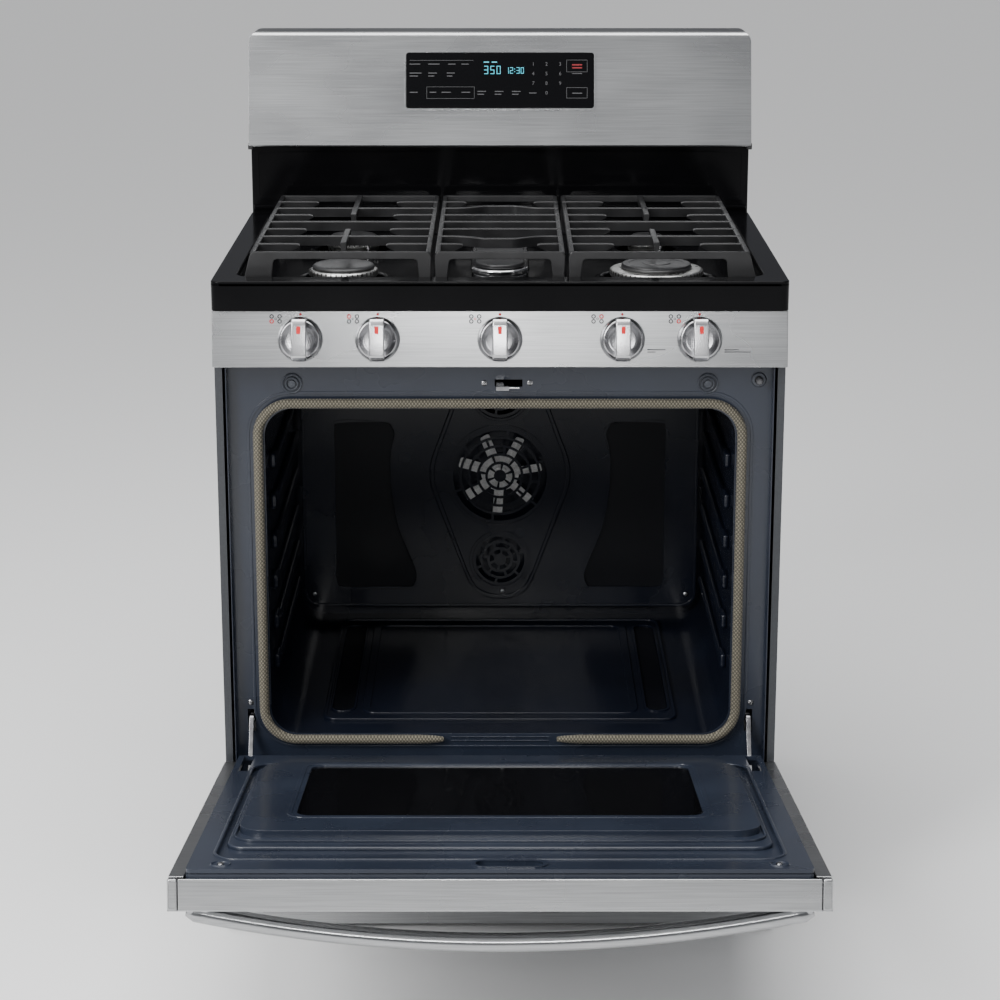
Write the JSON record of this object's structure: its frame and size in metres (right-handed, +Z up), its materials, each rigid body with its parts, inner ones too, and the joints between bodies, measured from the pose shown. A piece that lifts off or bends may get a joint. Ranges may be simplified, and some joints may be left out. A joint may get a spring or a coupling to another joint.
{
  "type": "freestanding gas range",
  "caption": "Freestanding gas range with sealed burners, cast grates, front knobs, a rear control backguard, a drop-down convection oven door with a bowed handle, and a storage drawer.",
  "frame": {"origin": "on the floor, under the centre of the object's box with the oven door open", "axes": "+Z up, -Y out of the front towards the user, +X to the right of a person facing the range"},
  "size_m": [0.757, 1.2388, 1.185],
  "materials": {
    "stainless": "horizontally brushed stainless steel, satin",
    "black_enamel": "gloss black porcelain enamel",
    "blue_enamel": "gloss blue-black porcelain enamel",
    "cast_iron": "matt enamelled cast iron",
    "cap_enamel": "satin black enamelled cap",
    "aluminium": "cast and machined aluminium",
    "chrome": "satin chrome",
    "polished_steel": "polished plated steel",
    "zinc_steel": "zinc plated sheet steel",
    "brass": "machined brass",
    "rope": "braided glass-fibre rope, khaki",
    "dark_glass": "black tinted glass",
    "dark_paint": "satin dark grey paint",
    "white_plastic": "moulded plastic"
  },
  "bodies": {
    "range_body": {"side_panel_left": "dark_paint", "side_panel_right": "dark_paint", "rear_panel": "zinc_steel", "base_frame": "zinc_steel", "oven_front_frame": "blue_enamel", "oven_liner": "blue_enamel", "oven_floor_plate": "blue_enamel", "fan_cover": "blue_enamel", "fan_motor": "zinc_steel", "door_gasket": "rope", "bake_burner": "zinc_steel", "broil_burner": "zinc_steel", "oven_lamp": "dark_glass", "hinge_arm_left": "polished_steel", "hinge_arm_right": "polished_steel", "control_panel": "stainless", "gas_manifold": "brass", "cooktop": "black_enamel", "burner_head_left_front": "aluminium", "burner_head_left_rear": "aluminium", "burner_head_right_front": "aluminium", "burner_head_right_rear": "aluminium", "burner_head_center": "aluminium", "backguard_panel": "black_enamel", "backguard_fascia": "stainless", "display_glass": "dark_glass"},
    "oven_door": {"door_outer_panel": "stainless", "door_end_cap_left": "stainless", "door_end_cap_right": "stainless", "door_inner_panel": "blue_enamel", "door_outer_glass": "dark_glass", "door_inner_glass": "dark_glass", "door_handle": "stainless"},
    "storage_drawer": {"drawer_front": "stainless", "drawer_pan": "zinc_steel"},
    "fan": {"convection_fan": "aluminium"},
    "latch": {"door_latch": "polished_steel"},
    "light_switch": {"light_switch_plunger": "white_plastic"},
    "pan_grate_center": {"grate_center": "cast_iron"},
    "pan_grate_left": {"grate_left": "cast_iron"},
    "pan_grate_right": {"grate_right": "cast_iron"},
    "stem_1": {"valve_stem_1": "zinc_steel"},
    "dial_1": {"knob_1": "chrome"},
    "stem_2": {"valve_stem_2": "zinc_steel"},
    "dial_2": {"knob_2": "chrome"},
    "stem_3": {"valve_stem_3": "zinc_steel"},
    "dial_3": {"knob_3": "chrome"},
    "stem_4": {"valve_stem_4": "zinc_steel"},
    "dial_4": {"knob_4": "chrome"},
    "stem_5": {"valve_stem_5": "zinc_steel"},
    "dial_5": {"knob_5": "chrome"},
    "flame_cap_center": {"burner_cap_center": "cap_enamel"},
    "flame_cap_left_front": {"burner_cap_left_front": "cap_enamel"},
    "flame_cap_left_rear": {"burner_cap_left_rear": "cap_enamel"},
    "flame_cap_right_front": {"burner_cap_right_front": "cap_enamel"},
    "flame_cap_right_rear": {"burner_cap_right_rear": "cap_enamel"},
    "foot_front_left": {"leveling_leg_front_left": "zinc_steel"},
    "foot_front_right": {"leveling_leg_front_right": "zinc_steel"},
    "foot_rear_left": {"leveling_leg_rear_left": "zinc_steel"},
    "foot_rear_right": {"leveling_leg_rear_right": "zinc_steel"}
  },
  "joints": [
    {"name": "door_hinge", "type": "hinge", "parent": "range_body", "child": "oven_door", "pos_m": [0, -0.04456, 0.214], "axis": [-1, 0, 0], "range_deg": [0, 81]},
    {"name": "drawer_slide", "type": "slide", "parent": "range_body", "child": "storage_drawer", "axis": [0, -1, 0], "range_m": [0, 0.45]},
    {"name": "fan_spin", "type": "hinge", "parent": "range_body", "child": "fan", "pos_m": [0, 0.52844, 0.504], "axis": [0, 1, 0], "continuous": true},
    {"name": "latch_slide", "type": "slide", "parent": "range_body", "child": "latch", "axis": [1, 0, 0], "range_m": [0, 0.015]},
    {"name": "light_switch_push", "type": "slide", "parent": "range_body", "child": "light_switch", "axis": [0, 1, 0], "range_m": [0, 0.005], "stiffness_N_per_m": 60, "springref_m": -0.003},
    {"name": "grate_center_lift", "type": "slide", "parent": "range_body", "child": "pan_grate_center", "axis": [0, 0, 1], "range_m": [0, 0.06]},
    {"name": "grate_left_lift", "type": "slide", "parent": "range_body", "child": "pan_grate_left", "axis": [0, 0, 1], "range_m": [0, 0.06]},
    {"name": "grate_right_lift", "type": "slide", "parent": "range_body", "child": "pan_grate_right", "axis": [0, 0, 1], "range_m": [0, 0.06]},
    {"name": "knob_1_push", "type": "slide", "parent": "range_body", "child": "stem_1", "axis": [0, 0.9848, -0.1736], "range_m": [0, 0.004], "stiffness_N_per_m": 300, "springref_m": -0.004},
    {"name": "knob_1_turn", "type": "hinge", "parent": "stem_1", "child": "dial_1", "pos_m": [-0.262, -0.02404, 0.836], "axis": [0, -0.9848, 0.1736], "range_deg": [0, 240]},
    {"name": "knob_2_push", "type": "slide", "parent": "range_body", "child": "stem_2", "axis": [0, 0.9848, -0.1736], "range_m": [0, 0.004], "stiffness_N_per_m": 300, "springref_m": -0.004},
    {"name": "knob_2_turn", "type": "hinge", "parent": "stem_2", "child": "dial_2", "pos_m": [-0.1605, -0.02404, 0.836], "axis": [0, -0.9848, 0.1736], "range_deg": [0, 240]},
    {"name": "knob_3_push", "type": "slide", "parent": "range_body", "child": "stem_3", "axis": [0, 0.9848, -0.1736], "range_m": [0, 0.004], "stiffness_N_per_m": 300, "springref_m": -0.004},
    {"name": "knob_3_turn", "type": "hinge", "parent": "stem_3", "child": "dial_3", "pos_m": [0, -0.02404, 0.836], "axis": [0, -0.9848, 0.1736], "range_deg": [0, 240]},
    {"name": "knob_4_push", "type": "slide", "parent": "range_body", "child": "stem_4", "axis": [0, 0.9848, -0.1736], "range_m": [0, 0.004], "stiffness_N_per_m": 300, "springref_m": -0.004},
    {"name": "knob_4_turn", "type": "hinge", "parent": "stem_4", "child": "dial_4", "pos_m": [0.1605, -0.02404, 0.836], "axis": [0, -0.9848, 0.1736], "range_deg": [0, 240]},
    {"name": "knob_5_push", "type": "slide", "parent": "range_body", "child": "stem_5", "axis": [0, 0.9848, -0.1736], "range_m": [0, 0.004], "stiffness_N_per_m": 300, "springref_m": -0.004},
    {"name": "knob_5_turn", "type": "hinge", "parent": "stem_5", "child": "dial_5", "pos_m": [0.262, -0.02404, 0.836], "axis": [0, -0.9848, 0.1736], "range_deg": [0, 240]},
    {"name": "lift_cap_center", "type": "slide", "parent": "range_body", "child": "flame_cap_center", "axis": [0, 0, 1], "range_m": [0, 0.01]},
    {"name": "lift_cap_left_front", "type": "slide", "parent": "range_body", "child": "flame_cap_left_front", "axis": [0, 0, 1], "range_m": [0, 0.02]},
    {"name": "lift_cap_left_rear", "type": "slide", "parent": "range_body", "child": "flame_cap_left_rear", "axis": [0, 0, 1], "range_m": [0, 0.02]},
    {"name": "lift_cap_right_front", "type": "slide", "parent": "range_body", "child": "flame_cap_right_front", "axis": [0, 0, 1], "range_m": [0, 0.02]},
    {"name": "lift_cap_right_rear", "type": "slide", "parent": "range_body", "child": "flame_cap_right_rear", "axis": [0, 0, 1], "range_m": [0, 0.02]},
    {"name": "turn_foot_front_left", "type": "hinge", "parent": "range_body", "child": "foot_front_left", "pos_m": [-0.364, 0.02944, 0.02], "axis": [0, 0, 1], "continuous": true},
    {"name": "turn_foot_front_right", "type": "hinge", "parent": "range_body", "child": "foot_front_right", "pos_m": [0.364, 0.02944, 0.02], "axis": [0, 0, 1], "continuous": true},
    {"name": "turn_foot_rear_left", "type": "hinge", "parent": "range_body", "child": "foot_rear_left", "pos_m": [-0.364, 0.56944, 0.02], "axis": [0, 0, 1], "continuous": true},
    {"name": "turn_foot_rear_right", "type": "hinge", "parent": "range_body", "child": "foot_rear_right", "pos_m": [0.364, 0.56944, 0.02], "axis": [0, 0, 1], "continuous": true}
  ]
}
